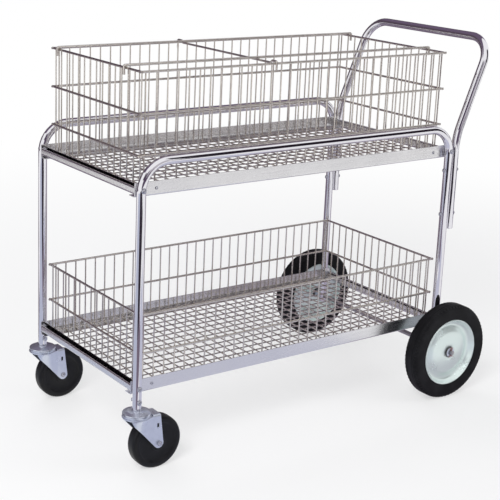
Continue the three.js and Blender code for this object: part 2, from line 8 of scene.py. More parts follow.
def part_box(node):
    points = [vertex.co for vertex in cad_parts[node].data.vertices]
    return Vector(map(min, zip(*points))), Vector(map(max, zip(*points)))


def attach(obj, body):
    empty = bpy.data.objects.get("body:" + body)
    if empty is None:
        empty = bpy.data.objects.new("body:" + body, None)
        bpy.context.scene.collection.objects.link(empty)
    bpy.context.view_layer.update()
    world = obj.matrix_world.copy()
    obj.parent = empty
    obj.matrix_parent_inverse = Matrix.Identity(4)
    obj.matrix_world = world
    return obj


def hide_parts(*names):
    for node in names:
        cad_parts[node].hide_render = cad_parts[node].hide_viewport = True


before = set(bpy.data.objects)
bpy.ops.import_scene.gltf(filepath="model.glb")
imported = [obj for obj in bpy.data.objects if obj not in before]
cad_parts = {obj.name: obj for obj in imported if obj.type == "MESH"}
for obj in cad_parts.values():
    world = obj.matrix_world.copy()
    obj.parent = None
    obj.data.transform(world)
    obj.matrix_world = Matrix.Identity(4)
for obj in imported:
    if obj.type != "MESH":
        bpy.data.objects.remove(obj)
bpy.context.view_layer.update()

# Camera, set up as the photograph was taken: from the cart's front left, a little above its handle.
# Its place is measured from the floor midway between the front legs.
left_frame_low, left_frame_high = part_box("left_side_frame")
tube_radius = (left_frame_high.y - left_frame_low.y) / 2
front_leg = left_frame_low.x + tube_radius
rear_leg = left_frame_high.x - tube_radius
camera_ahead = 1.3307
camera_left = 2.3887
camera_height = 1.2894
camera_place = Vector((front_leg - camera_ahead, -camera_left, camera_height))
camera_turn = math.radians(35.73)
camera_tilt = math.radians(-14.40)
camera_roll = math.radians(2.23)
film_width = 36
picture_width = 500
focal_pixels = 1222.1
picture_centre = (225.6, 200.0)
nearest_seen = 0.05
farthest_seen = 200

camera_data = bpy.data.cameras.new("camera")
camera_data.sensor_width = film_width
camera_data.lens = focal_pixels * film_width / picture_width
camera_data.shift_x = 0.5 - picture_centre[0] / picture_width
camera_data.shift_y = picture_centre[1] / picture_width - 0.5
camera_data.clip_start = nearest_seen
camera_data.clip_end = farthest_seen
camera = bpy.data.objects.new("camera", camera_data)
camera.matrix_world = (
    Matrix.Translation(camera_place)
    @ Matrix.Rotation(-camera_turn, 4, "Z")
    @ Matrix.Rotation(math.pi / 2 + camera_tilt, 4, "X")
    @ Matrix.Rotation(camera_roll, 4, "Z")
)
bpy.context.scene.collection.objects.link(camera)
bpy.context.scene.camera = camera
bpy.context.scene.view_settings.view_transform = "Standard"


# Floor, world and lamps: a plain white studio. The floor is a sheet of paper that keeps the cart's shadow
# and fades into white, and boards that only gloss sees give the bright metal its mauve and dark lines.
class Socket:
    """An output of a shader node. Arithmetic on it adds Math nodes."""

    def __init__(self, tree, link):
        self.tree = tree
        self.link = link

    def math(self, operation, *values):
        node = self.tree.nodes.new("ShaderNodeMath")
        node.operation = operation
        for slot, value in zip(node.inputs, values):
            if isinstance(value, Socket):
                self.tree.links.new(value.link, slot)
            else:
                slot.default_value = value
        return Socket(self.tree, node.outputs[0])

    def __add__(self, other):
        return self.math("ADD", self, other)

    __radd__ = __add__

    def __mul__(self, other):
        return self.math("MULTIPLY", self, other)

    __rmul__ = __mul__

    def __sub__(self, other):
        return self.math("SUBTRACT", self, other)

    def __rsub__(self, other):
        return self.math("SUBTRACT", other, self)

    def __abs__(self):
        return self.math("ABSOLUTE", self)

    def most(self, other):
        return self.math("MAXIMUM", self, other)


class Nodes:
    """Adds nodes to a material's or the world's tree."""

    def __init__(self, owner):
        owner.use_nodes = True
        self.tree = owner.node_tree

    def node(self, kind, settings=None, inputs=None, output=0):
        """Adds a node, sets it up, gives its sockets values or links, and returns one of its outputs."""
        made = self.tree.nodes.new("ShaderNode" + kind)
        for name, value in (settings or {}).items():
            setattr(made, name, value)
        for name, value in (inputs or {}).items():
            if isinstance(value, Socket):
                self.tree.links.new(value.link, made.inputs[name])
            else:
                made.inputs[name].default_value = value
        return Socket(self.tree, made.outputs[output])

    def ramp(self, value, low, high):
        """0 where the value is below low, 1 above high, with a soft rise between."""
        inputs = {"Value": value, "From Min": low, "From Max": high}
        return self.node("MapRange", {"interpolation_type": "SMOOTHSTEP"}, inputs)

    def seen_bright(self):
        """1 for rays from the camera, from gloss and through glass, and 0 for the rest."""
        kinds = ("Camera", "Glossy", "Transmission")
        rays = [self.node("LightPath", output=f"Is {kind} Ray") for kind in kinds]
        return rays[0].most(rays[1]).most(rays[2])


class Finish(Nodes):
    """A material whose Principled shader the sections set and feed."""

    def __init__(self, name, **sockets):
        self.material = bpy.data.materials.new(name)
        super().__init__(self.material)
        self.shader = self.tree.nodes["Principled BSDF"]
        for socket, value in sockets.items():
            self.shader.inputs[socket.replace("_", " ")].default_value = value

    def feed(self, socket, value):
        self.tree.links.new(value.link, self.shader.inputs[socket])

    def place(self, scale=(1, 1, 1), centre=(0, 0, 0)):
        """Object coordinates in metres, moved so that centre is zero and then stretched."""
        moved = [-stretch * middle for stretch, middle in zip(scale, centre)]
        inputs = {"Vector": self.node("TexCoord", output="Object"), "Location": moved, "Scale": scale}
        return self.node("Mapping", inputs=inputs)

    def distance(self):
        """How far a point is from the object's origin, in metres."""
        return self.node("VectorMath", {"operation": "LENGTH"}, {"Vector": self.place()}, output="Value")

    def speckle(self, size, scale=(1, 1, 1), detail=3.0):
        """Even noise from 0 to 1 whose grains are about as large as size, in metres."""
        inputs = {"Vector": self.place(scale), "Scale": 1 / size, "Detail": detail}
        return self.node("TexNoise", inputs=inputs)

    def blend(self, factor, first, second):
        """A colour between two others, each a socket or three numbers."""
        first, second = (color if isinstance(color, Socket) else (*color, 1) for color in (first, second))
        # A Mix node's sockets for numbers and for colours share their names, so these go by their order.
        return self.node("Mix", {"data_type": "RGBA"}, {0: factor, 6: first, 7: second}, output=2)

    def mottle(self, size, first, second, detail=3.0):
        """Lets the base colour wander between two others, in grains about as large as size."""
        self.feed("Base Color", self.blend(self.speckle(size, detail=detail), first, second))

    def relief(self, height, depth):
        self.feed("Normal", self.node("Bump", inputs={"Height": height, "Distance": depth}))


floor_reach = 30
shadow_reach = (1.1, 3.2)
shadow_strength = 0.45
floor_mesh = bmesh.new()
bmesh.ops.create_grid(floor_mesh, x_segments=1, y_segments=1, size=floor_reach)
floor_data = bpy.data.meshes.new("floor")
floor_mesh.to_mesh(floor_data)
floor_mesh.free()
floor = bpy.data.objects.new("floor", floor_data)
bpy.context.scene.collection.objects.link(floor)
paper = Finish("floor_paper", Base_Color=(0.93, 0.93, 0.93, 1), Roughness=0.9, Specular_IOR_Level=0.0)
faded = paper.ramp(paper.distance(), *shadow_reach) * shadow_strength + (1 - shadow_strength)
glow = paper.node("Emission", inputs={"Color": (1, 1, 1, 1), "Strength": 1.0})
lit = Socket(paper.tree, paper.shader.outputs[0])
shown = paper.node("MixShader", inputs={0: paper.seen_bright() * faded, 1: lit, 2: glow})
paper.tree.links.new(shown.link, paper.tree.nodes["Material Output"].inputs["Surface"])
floor_data.materials.append(paper.material)

world = bpy.data.worlds.new("studio")
bpy.context.scene.world = world
studio = Nodes(world)
room = studio.node("Background", inputs={"Color": (0.95, 0.96, 1.0, 1), "Strength": 0.42})
white = studio.node("Background", inputs={"Color": (1, 1, 1, 1), "Strength": 1.0})
sky = studio.node("MixShader", inputs={0: studio.seen_bright(), 1: room, 2: white})
studio.tree.links.new(sky.link, studio.tree.nodes["World Output"].inputs["Surface"])


def lamp(name, place, target, size, watts):
    data = bpy.data.lights.new(name, "AREA")
    data.shape = "RECTANGLE"
    data.size, data.size_y = size
    data.energy = watts
    made = bpy.data.objects.new(name, data)
    made.location = place
    made.visible_glossy = False
    made.rotation_mode = "QUATERNION"
    made.rotation_quaternion = (Vector(target) - Vector(place)).to_track_quat("-Z", "Y")
    bpy.context.scene.collection.objects.link(made)


# Each lamp has a place, a point that it faces, a size and its watts.
lamp("key_lamp", (-2.8, -2.0, 3.0), (0, 0, 0.4), (1.6, 1.6), 105)
lamp("fill_lamp", (2.8, -2.6, 2.2), (0, 0, 0.4), (2.0, 2.0), 30)
lamp("back_lamp", (0.4, 3.0, 2.8), (0, 0, 0.5), (3.0, 1.6), 40)


def board(name, low, high, color, foot=(0, 0), turn=0):
    """A plain board that only gloss sees, between two corners and turned about its foot."""
    low, high = Vector(low), Vector(high)
    mesh = bmesh.new()
    bmesh.ops.create_cube(mesh, size=1)
    bmesh.ops.scale(mesh, vec=high - low, verts=mesh.verts)
    bmesh.ops.translate(mesh, vec=(low + high) / 2, verts=mesh.verts)
    data = bpy.data.meshes.new(name)
    mesh.to_mesh(data)
    mesh.free()
    glowing = {"Emission_Color": (*color, 1), "Emission_Strength": 1.0}
    cloth = Finish(name, Base_Color=(0, 0, 0, 1), Specular_IOR_Level=0.0, **glowing)
    data.materials.append(cloth.material)
    made = bpy.data.objects.new(name, data)
    made.location = (*foot, 0)
    made.rotation_euler.z = math.radians(turn)
    bpy.context.scene.collection.objects.link(made)
    made.visible_camera = False
    made.visible_diffuse = False
    made.visible_transmission = False
    made.visible_shadow = False


# The boards on the floor give the legs their stripes and the rails their tone. Those that stand round the
# cart, and the one overhead, give the bends, the handle and the far tubes their dark bands. Each has two
# opposite corners and a colour, and a turned one a foot and its turn in degrees.
near_foot = (front_leg, left_frame_high.y - tube_radius)
board("lavender_board", (-0.4, -1.5, 0.001), (0.45, 0.6, 0.002), (0.60, 0.61, 0.72))
board("mauve_board", (0.0, -0.47, 0.003), (2.4, 0.6, 0.004), (0.42, 0.38, 0.46))
board("left_floor_board", (-4.0, -3.0, 0.001), (-0.6, 0.6, 0.002), (0.53, 0.56, 0.68))
board("dark_stripe_board", (0.0, -5.0, 0.005), (2.2, -0.85, 0.006), (0.035, 0.028, 0.04), near_foot, -58)
board("near_stripe_board", (0.0, -0.85, 0.005), (0.85, -0.3, 0.006), (0.20, 0.16, 0.21), near_foot, -58)
board("light_stripe_board", (0.0, -1.3, 0.007), (0.75, 0.0, 0.008), (0.60, 0.61, 0.72), near_foot, 14)
board("side_board", (0.8, -6.0, 0.005), (5.0, -3.6, 0.006), (0.18, 0.15, 0.18))
board("edge_board", (2.15, -1.7, 0.005), (3.4, -0.4, 0.006), (0.08, 0.07, 0.12))
board("rear_floor_board", (-1.2, 0.62, 0.005), (7.0, 6.0, 0.006), (0.19, 0.15, 0.20))
board("rear_side_board", (-1.55, 1.4, 0.005), (-1.2, 2.95, 0.006), (0.12, 0.09, 0.12))
board("rear_corner_board", (-9.0, 2.95, 0.005), (-1.2, 6.0, 0.006), (0.12, 0.09, 0.12))
board("rear_board", (-9.0, 6.0, 0.0), (8.0, 6.02, 5.0), (0.10, 0.075, 0.10))
board("ceiling_board", (-5.0, 0.5, 5.0), (8.0, 6.0, 5.02), (0.15, 0.11, 0.17))
board("bend_board", (-5.0, -6.02, 0.0), (-1.6, -6.0, 4.4), (0.10, 0.07, 0.12))
board("low_bend_board", (-1.6, -6.02, 0.0), (1.4, -6.0, 1.4), (0.10, 0.07, 0.12))
board("far_board", (-1.6, -6.05, 0.0), (3.0, -6.03, 3.2), (0.60, 0.58, 0.61))
board("corner_board", (-5.02, -6.0, 2.6), (-5.0, -3.0, 5.4), (0.05, 0.035, 0.055))
board("high_stripe_board", (3.2, -6.02, 0.0), (12.0, -6.0, 8.5), (0.02, 0.014, 0.022))


# Side frames: each an inverted U of steel tube, bent cold, polished and chromed.
# The front leg's foot holds a caster's stem, and the rear leg is bored for the axle.
tube_wall = 0.0016
polish_loss = 0.00001
end_ring = 0.001
frame_bend = 0.066
frame_y = left_frame_high.y - tube_radius
top_rail = left_frame_high.z - tube_radius
front_foot = 0.149
rear_foot = left_frame_low.z
# Points less than a hair apart count as one.
hair = 1e-6


def turn_to(direction):
    return direction.to_track_quat("Z", "Y").to_matrix().to_4x4()


def pull(mesh, edges, step):
    """Extrudes a chain of edges by a step and returns the new chain."""
    made = bmesh.ops.extrude_edge_only(mesh, edges=edges)["geom"]
    corners = {item for item in made if isinstance(item, bmesh.types.BMVert)}
    bmesh.ops.translate(mesh, vec=step, verts=list(corners))
    return [item for item in made if isinstance(item, bmesh.types.BMEdge) and set(item.verts) <= corners]


def sweep(mesh, corners, bends, radius, sides, steps, capped=False):
    """A tube skin, or a rod if capped, along straight runs with an arc at each inner corner.

    A skin has a ring close to each end, so that its cut end doesn't tilt the shading of a long run.
    """
    corners = [Vector(corner) for corner in corners]
    start = Matrix.Translation(corners[0]) @ turn_to((corners[1] - corners[0]).normalized())
    disc = bmesh.ops.create_circle(mesh, segments=sides, radius=radius, cap_ends=capped, matrix=start)
    edges = list({edge for vert in disc["verts"] for edge in vert.link_edges})
    here = corners[0]
    if not capped:
        edges = pull(mesh, edges, (corners[1] - here).normalized() * end_ring)
        here = here + (corners[1] - here).normalized() * end_ring
    for bend, corner, after in zip(bends, corners[1:], corners[2:]):
        into = (corner - here).normalized()
        out = (after - corner).normalized()
        angle = into.angle(out)
        start = corner - into * bend * math.tan(angle / 2)
        edges = pull(mesh, edges, start - here)
        axis = into.cross(out).normalized()
        middle = start + axis.cross(into) * bend
        ring = list({vert for edge in edges for vert in edge.verts}) + edges
        spun = bmesh.ops.spin(mesh, geom=ring, cent=middle, axis=axis, angle=angle, steps=steps)["geom_last"]
        edges = [item for item in spun if isinstance(item, bmesh.types.BMEdge)]
        here = corner + out * bend * math.tan(angle / 2)
    if capped:
        edges = pull(mesh, edges, corners[-1] - here)
        bmesh.ops.edgeloop_fill(mesh, edges=edges)
    else:
        last_ring = corners[-1] - (corners[-1] - here).normalized() * end_ring
        edges = pull(mesh, edges, last_ring - here)
        pull(mesh, edges, corners[-1] - last_ring)


def piece(name, mesh, finish, stands_for=(), body="cart", bevel=0.0):
    """Turns a bmesh into a piece of the cart, with smooth faces between its sharp edges."""
    bmesh.ops.remove_doubles(mesh, verts=mesh.verts, dist=hair)
    bmesh.ops.recalc_face_normals(mesh, faces=mesh.faces)
    sharp = math.radians(35)
    if bevel:
        edges = [edge for edge in mesh.edges if edge.calc_face_angle(0) > sharp]
        bmesh.ops.bevel(
            mesh, geom=edges, affect="EDGES", offset=bevel, offset_type="OFFSET",
            segments=2, profile=0.5, material=-1, clamp_overlap=True,
        )
    for face in mesh.faces:
        face.smooth = True
    for edge in mesh.edges:
        edge.smooth = edge.calc_face_angle(0) < sharp
    data = bpy.data.meshes.new(name)
    mesh.to_mesh(data)
    mesh.free()
    data.materials.append(finish.material)
    made = bpy.data.objects.new(name, data)
    bpy.context.scene.collection.objects.link(made)
    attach(made, body)
    if stands_for:
        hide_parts(*stands_for)
    return made


def thicken(made, thickness, edge=0.0):
    """Gives a sheet its thickness on both sides, and rounds its cut edges."""
    wall = made.modifiers.new("wall", "SOLIDIFY")
    wall.thickness = thickness
    wall.offset = 0
    wall.use_even_offset = True
    if edge:
        rounding = made.modifiers.new("edge", "BEVEL")
        rounding.width = edge
        rounding.segments = 2
        rounding.limit_method = "ANGLE"
        rounding.angle_limit = math.radians(50)
        # The large faces stay flat to the eye, and only the narrow ones between them look round.
        shading = made.modifiers.new("shading", "WEIGHTED_NORMAL")
        shading.keep_sharp = True
        shading.weight = 100


chrome = Finish("bright_chrome", Base_Color=(0.80, 0.79, 0.83, 1), Metallic=1.0)
chrome.feed("Roughness", chrome.speckle(0.05, detail=4.0) * 0.08 + 0.03)
chrome.relief(chrome.speckle(0.03), 0.00002)


def tube_piece(name, corners, bends, stands_for):
    mesh = bmesh.new()
    sweep(mesh, corners, bends, tube_radius - tube_wall / 2 - polish_loss, sides=32, steps=10)
    thicken(piece(name, mesh, chrome, stands_for), tube_wall)


for side, y in (("left", frame_y), ("right", -frame_y)):
    tube_piece(
        f"{side}_frame_tube",
        [
            (front_leg, y, front_foot),
            (front_leg, y, top_rail),
            (rear_leg, y, top_rail),
            (rear_leg, y, rear_foot),
        ],
        [frame_bend, frame_bend],
        [f"{side}_side_frame"],
    )

# Push handle: one length of the same tube, its feet upright behind the rear legs, kicked back above them
# and bent into a crossbar with large soft corners. Both feet are open at the bottom.
handle_low, handle_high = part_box("push_handle")
handle_foot = handle_low.x + tube_radius
handle_kick = 0.689
handle_kick_bend = 0.170
handle_top = handle_high.z - tube_radius
handle_bar = handle_high.x - tube_radius
handle_bend = 0.066

tube_piece(
    "handle_tube",
    [
        (handle_foot, frame_y, handle_low.z),
        (handle_foot, frame_y, handle_kick),
        (handle_bar, frame_y, handle_top),
        (handle_bar, -frame_y, handle_top),
        (handle_foot, -frame_y, handle_kick),
        (handle_foot, -frame_y, handle_low.z),
    ],
    [handle_kick_bend, handle_bend, handle_bend, handle_kick_bend],
    ["push_handle"],
)

# Handle bolts: zinc plated screws through each rear leg and the handle's foot behind it,
# two to a leg, with acorn nuts towards the front and domed heads at the rear.
bolt_radius = 0.003
bolt_head = 0.0064
washer = 0.0008
seat_gap = 0.0003
thread_chamfer = 0.0006
leg_side = tube_radius + seat_gap
handle_bolt_heights = (0.488, 0.604)
handle_head_height = 0.005
head_share = 0.82
head_dome_shares = ((0, 1), (0.35, 0.96), (0.62, 0.76), (0.78, 0.45))
acorn_height = 0.0045
acorn_dome = 0.0047
acorn_dome_shares = ((1, 0.3), (1, 0.55), (0.85, 0.8), (0.5, 0.96), (0, 1))
hexagon_share = 0.94
hexagon_height_share = 0.45


def scaled(shares, radius, height):
    """Outline points, from each one's shares of a radius and a height."""
    return [(radius * across, height * up) for across, up in shares]


def lathe(mesh, profile, middle, axis, steps):
    """Spins points, each a radius and a place along the axis, about an axis through middle."""
    middle = Vector(middle)
    turn = Matrix.Translation(middle) @ turn_to(Vector(axis))
    corners = [mesh.verts.new(turn @ Vector((radius, 0, place))) for radius, place in profile]
    edges = [mesh.edges.new(ends) for ends in zip(corners, corners[1:])]
    turned = {"cent": middle, "axis": axis, "angle": 2 * math.pi, "steps": steps, "use_merge": True}
    bmesh.ops.spin(mesh, geom=corners + edges, **turned)


def nut(mesh, middle, axis, radius, height):
    """A hexagon nut that stands on middle and points along the axis."""
    axis = Vector(axis)
    place = Matrix.Translation(Vector(middle) + axis * height / 2) @ turn_to(axis)
    bmesh.ops.create_cone(
        mesh, cap_ends=True, segments=6, radius1=radius, radius2=radius, depth=height, matrix=place,
    )


def domed_head(mesh, middle, axis, height):
    """A domed screw head over a thin washer, standing on middle and pointing along the axis."""
    profile = scaled(head_dome_shares, bolt_head, height)
    profile += [(bolt_head * head_share, washer), (bolt_head, washer), (bolt_head, 0), (0, 0)]
    lathe(mesh, profile, middle, axis, steps=20)


def shank(mesh, start, axis, radius, length):
    """A screw's shank from start along the axis, chamfered at its far end."""
    tip = [(radius, length - thread_chamfer), (radius - thread_chamfer, length), (0, length)]
    lathe(mesh, [(0, 0), (radius, 0)] + tip, start, axis, steps=16)


zinc = Finish("zinc_plate", Metallic=0.9)
zinc.mottle(0.012, (0.58, 0.62, 0.72), (0.70, 0.74, 0.84), detail=5.0)
zinc.feed("Roughness", zinc.speckle(0.02) * 0.10 + 0.24)
zinc.relief(zinc.speckle(0.006), 0.00001)
# Painted shade: screws and rivets get a darker copy of the zinc plate, so that their heads show dark rims
# like the shade round a washer.
painted_shade_bolt_steel = Finish("painted_shade_bolt_steel", Metallic=1.0)
painted_shade_bolt_steel.mottle(0.003, (0.34, 0.34, 0.39), (0.62, 0.63, 0.70))
painted_shade_bolt_steel.feed("Roughness", painted_shade_bolt_steel.speckle(0.002) * 0.15 + 0.20)

for side, y in (("left", frame_y), ("right", -frame_y)):
    for index, height in enumerate(handle_bolt_heights, 1):
        front = (rear_leg - leg_side, y, height)
        rear = (handle_foot + leg_side, y, height)
        mesh = bmesh.new()
        nut(mesh, front, (-1, 0, 0), bolt_head * hexagon_share, acorn_height * hexagon_height_share)
        lathe(mesh, scaled(acorn_dome_shares, acorn_dome, acorn_height), front, (-1, 0, 0), steps=20)
        shank(mesh, front, (1, 0, 0), bolt_radius, rear[0] - front[0])
        domed_head(mesh, rear, (1, 0, 0), handle_head_height)
        node = f"{side}_handle_bolt_{index}"
        piece(f"{side}_handle_screw_{index}", mesh, painted_shade_bolt_steel, [node], bevel=0.0002)

# Side rails: steel angle folded from 2 mm sheet and bright plated, one down each side of each shelf.
# The tall face is bolted to the legs, with a small rivet near each end, and the flange carries the basket.
sheet = 0.002
rail_fold = 0.003
rivet_place = 0.045
rivet_radius = 0.0040
rivet_height = 0.0012
rivet_bore_share = 0.42
rivet_shares = ((0.50, 0.9), (0.70, 1), (0.95, 0.5))


def plated_sheet(name, painted_shade=None):
    """Bright plated sheet, drawn lengthwise. Where the masking function given gives 1, it is painted near
    black, as painted shade.
    """
    made = Finish(name, Metallic=1.0)
    drawn = made.speckle(0.004, scale=(0.04, 1, 1), detail=6.0)
    color = made.blend(made.speckle(0.2, scale=(1, 1, 3)), (0.74, 0.74, 0.76), (0.86, 0.85, 0.85))
    if painted_shade:
        # Painted shade and painted dark reflection: where the mask gives 1, the colour is near black, for the
        # shadowed inside of a trough.
        color = made.blend(painted_shade(made), color, (0.04, 0.034, 0.045))
    made.feed("Base Color", color)
    made.feed("Roughness", drawn * 0.12 + made.speckle(0.06) * 0.10 + 0.14)
    made.relief(drawn, 0.00003)
    return made


satin = plated_sheet("satin_plate")
rivet = [(0, -sheet / 4), (rivet_radius * rivet_bore_share, -sheet / 4)]
rivet += scaled(rivet_shares, rivet_radius, rivet_height) + [(rivet_radius, -sheet / 2)]

for level in ("upper", "lower"):
    for side, out in (("left", -1), ("right", 1)):
        node = f"{level}_{side}_rail"
        low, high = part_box(node)
        face_y = (high.y if out > 0 else low.y) - out * sheet / 2
        flange = high.y - low.y - sheet / 2
        foot = low.z + sheet / 2
        mesh = bmesh.new()
        bmesh.ops.create_grid(mesh, x_segments=1, y_segments=1, size=0.5)
        bmesh.ops.scale(mesh, vec=(high.x - low.x, flange, 1), verts=mesh.verts)
        middle = ((low.x + high.x) / 2, face_y - out * flange / 2, foot)
        bmesh.ops.translate(mesh, vec=middle, verts=mesh.verts)
        fold = [edge for edge in mesh.edges if all(abs(vert.co.y - face_y) < hair for vert in edge.verts)]
        pull(mesh, fold, Vector((0, 0, high.z - foot)))
        bmesh.ops.bevel(
            mesh, geom=fold, affect="EDGES", offset=rail_fold, offset_type="OFFSET",
            segments=4, profile=0.5, material=-1,
        )
        thicken(piece(f"{level}_{side}_angle", mesh, satin, [node]), sheet, edge=0.0003)
        mesh = bmesh.new()
        for x in (front_leg + rivet_place, rear_leg - rivet_place):
            middle = (x, face_y + out * sheet / 2, (low.z + high.z) / 2)
            lathe(mesh, rivet, middle, (0, out, 0), steps=16)
        piece(f"{level}_{side}_rivets", mesh, painted_shade_bolt_steel)

# End channels: rolled from the same sheet, open at the top, with a rounded outer foot and a rolled lip.
# Each is butted between two side rails, in line with the legs.
channel_corner = 0.005
lip_radius = 0.0022
lip_turn = math.radians(200)


def trough_finish(level):
    """Plate with painted shade inside the troughs, on the wall that shows over the lip, and bright elsewhere:
    the inside is painted dark for its shadow and dark reflections.
    """
    low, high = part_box(f"{level}_rear_channel")
    middle = (front_leg + rear_leg) / 2
    wall = low.x - middle + sheet / 2
    lip = high.x - middle - 2 * lip_radius - sheet

    # Mask for the painted shade: 1 across the trough's inside, from its inner wall to its lip and above its
    # underside.
    def inside(made):
        place = made.place(centre=(middle, 0, low.z))
        along = abs(made.node("SeparateXYZ", inputs={"Vector": place}, output="X"))
        height = made.node("SeparateXYZ", inputs={"Vector": place}, output="Z")
        past_wall = made.ramp(along, wall - sheet / 4, wall + sheet / 4)
        before_lip = 1 - made.ramp(along, lip - sheet / 4, lip)
        return past_wall * before_lip * made.ramp(height, sheet / 4, sheet / 2)

    return plated_sheet(f"{level}_painted_shade_trough_plate", inside)


for level in ("upper", "lower"):
    painted_shade_trough_plate = trough_finish(level)
    for end, out in (("front", -1), ("rear", 1)):
        node = f"{level}_{end}_channel"
        low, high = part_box(node)
        inner, outer = (high.x, low.x) if out < 0 else (low.x, high.x)
        inner_wall = inner + out * sheet / 2
        outer_wall = outer - out * sheet / 2
        foot = low.z + sheet / 2
        lip = high.z - lip_radius - sheet / 2
        mesh = bmesh.new()
        ends = [mesh.verts.new((inner_wall, y, high.z)) for y in (low.y, high.y)]
        edges = [mesh.edges.new(ends)]
        folds = []
        for x, z in ((inner_wall, foot), (outer_wall, foot), (outer_wall, lip)):
            here = edges[0].verts[0].co
            edges = pull(mesh, edges, Vector((x - here.x, 0, z - here.z)))
            folds.append(edges[0])
        hinge = (outer_wall - out * lip_radius, 0, lip)
        turn = {"cent": hinge, "axis": (0, 1, 0), "angle": -out * lip_turn, "steps": 7}
        bmesh.ops.spin(mesh, geom=list(edges[0].verts) + edges, **turn)
        for fold, radius in zip(folds, (sheet, channel_corner)):
            bmesh.ops.bevel(
                mesh, geom=[fold], affect="EDGES", offset=radius, offset_type="OFFSET",
                segments=5, profile=0.5, material=-1,
            )
        trough = piece(f"{level}_{end}_trough", mesh, painted_shade_trough_plate, [node])
        thicken(trough, sheet, edge=0.0002)

# Shelf bolts and stem bolts: the same screws, with domed heads outside the legs and hexagon nuts inside.
# A shelf bolt passes through a leg and the rail behind it, a stem bolt through a leg and a caster's stem.
head_height = 0.0045
nut_height = 0.005
thread_end = 0.0008
shelf_bolt_rise = 0.018
stem_bolt_height = 0.168


def screw(name, middle, out, head_place, nut_place, radius, node, body="cart"):
    """A screw across the cart: its head beyond head_place, its nut beyond nut_place on the other side."""
    mesh = bmesh.new()
    axis = Vector((0, out, 0))
    middle = Vector(middle)
    domed_head(mesh, middle + axis * head_place, axis, head_height)
    nut(mesh, middle - axis * nut_place, -axis, bolt_head, nut_height)
    shank(mesh, middle + axis * head_place, -axis, radius, head_place + nut_place + nut_height + thread_end)
    return piece(name, mesh, painted_shade_bolt_steel, [node], body, bevel=0.0002)


for side, y, out in (("left", frame_y, -1), ("right", -frame_y, 1)):
    for level in ("upper", "lower"):
        low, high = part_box(f"{level}_{side}_rail")
        through = tube_radius + sheet + 2 * seat_gap
        for end, x in (("front", front_leg), ("rear", rear_leg)):
            name = f"{level}_{end}_{side}"
            middle = (x, y, low.z + shelf_bolt_rise)
            screw(f"{name}_screw", middle, out, leg_side, through, bolt_radius, f"{name}_shelf_bolt")
    middle = (front_leg, y, stem_bolt_height)
    screw(f"{side}_stem_screw", middle, out, leg_side, leg_side, bolt_radius, f"{side}_stem_bolt")

# Baskets: round steel wires, welded where they cross and plated. The side uprights run on across the bottom
# as one bent wire, the end uprights run on lengthwise over them, and heavier wires make the rims.
rim_wire = 0.00275
mesh_wire = 0.0018
weld_sink = 0.0004
mesh_bend = 0.004
mesh_pitch = 0.028
row_pitch = 0.0915
corner_overshoot = 0.0035
side_margin = 0.013
end_margin = 0.0055

wire = Finish("nickel_wire", Metallic=1.0)
wire.mottle(0.04, (0.62, 0.58, 0.54), (0.84, 0.80, 0.74), detail=4.0)
wire.feed("Roughness", wire.speckle(0.02) * 0.12 + 0.14)
wire.relief(wire.speckle(0.003), 0.00004)


def spread(low, high, pitch):
    """Places spread evenly from low to high, as near to the pitch as whole gaps allow."""
    gaps = round((high - low) / pitch)
    return [low + (high - low) * i / gaps for i in range(gaps + 1)]


def rod(mesh, start, end, radius, sides):
    start, end = Vector(start), Vector(end)
    along = end - start
    place = Matrix.Translation((start + end) / 2) @ turn_to(along.normalized())
    bmesh.ops.create_cone(
        mesh, cap_ends=True, segments=sides, radius1=radius, radius2=radius, depth=along.length, matrix=place,
    )


for level, rows in (("upper", 3), ("lower", 2)):
    nodes = [f"{level}_basket_{part}" for part in ("bottom", "left", "right", "front", "rear")]
    bottom_low, bottom_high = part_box(nodes[0])
    side_low, side_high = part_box(nodes[1])
    ends = (bottom_low.x, bottom_high.x)
    half = -side_low.y - rim_wire
    rim = side_high.z - rim_wire
    inset = rim_wire + mesh_wire - weld_sink
    cross_z = bottom_low.z + mesh_wire
    along_z = cross_z + 2 * mesh_wire - weld_sink
    mesh = bmesh.new()
    for z in (rim - row * row_pitch for row in range(rows)):
        for y in (-half, half):
            rod(mesh, (side_low.x, y, z), (side_high.x, y, z), rim_wire, sides=12)
        for x in ends:
            rod(mesh, (x, -half - corner_overshoot, z), (x, half + corner_overshoot, z), rim_wire, sides=12)
    y = half - inset
    for x in spread(ends[0] + side_margin, ends[1] - side_margin, mesh_pitch):
        path = [(x, -y, rim), (x, -y, cross_z), (x, y, cross_z), (x, y, rim)]
        sweep(mesh, path, [mesh_bend, mesh_bend], mesh_wire, sides=8, steps=3, capped=True)
    front, rear = ends[0] + inset, ends[1] - inset
    for y in spread(end_margin - half, half - end_margin, mesh_pitch):
        path = [(front, y, rim), (front, y, along_z), (rear, y, along_z), (rear, y, rim)]
        sweep(mesh, path, [mesh_bend, mesh_bend], mesh_wire, sides=8, steps=3, capped=True)
    piece(f"{level}_basket", mesh, wire, nodes)

# Hanger rails: plated rods along the upper basket for hanging folders, hooked down over the end rims.
# The cross rod lies under them, steps up over the side rims and hooks down outside.
hook_bend = 0.0035
cross_bend = 0.003
rod_step = 0.0053
step_place = 0.0171
step_run = 0.006

for side in ("left", "right"):
    node = f"{side}_hanger_rail"
    low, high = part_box(node)
    radius = (high.y - low.y) / 2
    y = (low.y + high.y) / 2
    front, rear, top = low.x + radius, high.x - radius, high.z - radius
    mesh = bmesh.new()
    path = [(front, y, low.z), (front, y, top), (rear, y, top), (rear, y, low.z)]
    sweep(mesh, path, [hook_bend, hook_bend], radius, sides=14, steps=5, capped=True)
    piece(f"{side}_folder_rod", mesh, wire, [node], f"{side}_hanger")

